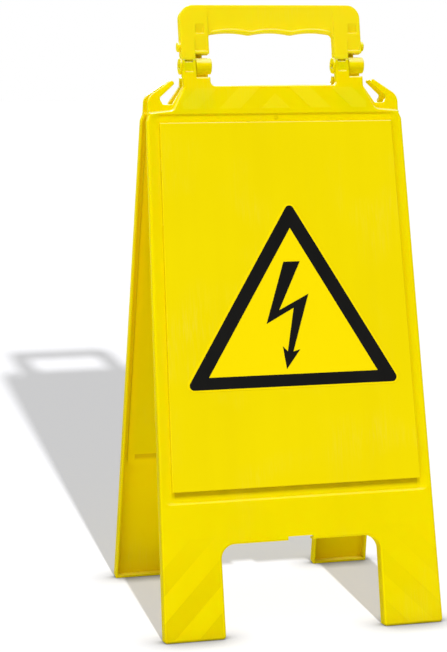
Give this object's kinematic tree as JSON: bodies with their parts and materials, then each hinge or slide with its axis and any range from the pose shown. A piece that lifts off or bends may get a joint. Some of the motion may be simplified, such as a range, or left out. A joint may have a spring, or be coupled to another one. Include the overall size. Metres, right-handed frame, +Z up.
{
  "type": "folding warning sign",
  "caption": "Folding A-frame floor sign: moulded panels hinged below a carry handle, each with a sign plate bearing the electric hazard triangle, and chain hooks at the shoulders.",
  "frame": {"origin": "on the floor, midway between the four feet, below the hinge axis", "axes": "+Z up, -Y out of the front face, +X to the right of someone facing the front face"},
  "size_m": [0.2998, 0.2658, 0.6425],
  "materials": {
    "moulding": "moulded satin, warning yellow",
    "plate": "smooth, warning yellow",
    "tape": "foam tape, off-white",
    "film": "smooth film, bright yellow",
    "figure": "printed black",
    "pin": "drawn steel"
  },
  "bodies": {
    "front_frame": {"front_panel": "moulding", "carry_handle": "moulding", "hinge_pin_left": "pin", "hinge_pin_right": "pin", "front_sign_plate": "plate", "front_plate_tape": "tape", "front_sign_film": "film", "front_sign_figure": "figure"},
    "rear_frame": {"rear_panel": "moulding", "rear_sign_plate": "plate", "rear_plate_tape": "tape", "rear_sign_film": "film", "rear_sign_figure": "figure"}
  },
  "joints": [
    {"name": "rear_fold", "type": "hinge", "parent": "front_frame", "child": "rear_frame", "pos_m": [0, 0, 0.57888], "axis": [-1, 0, 0], "range_deg": [0, 23.4]}
  ]
}
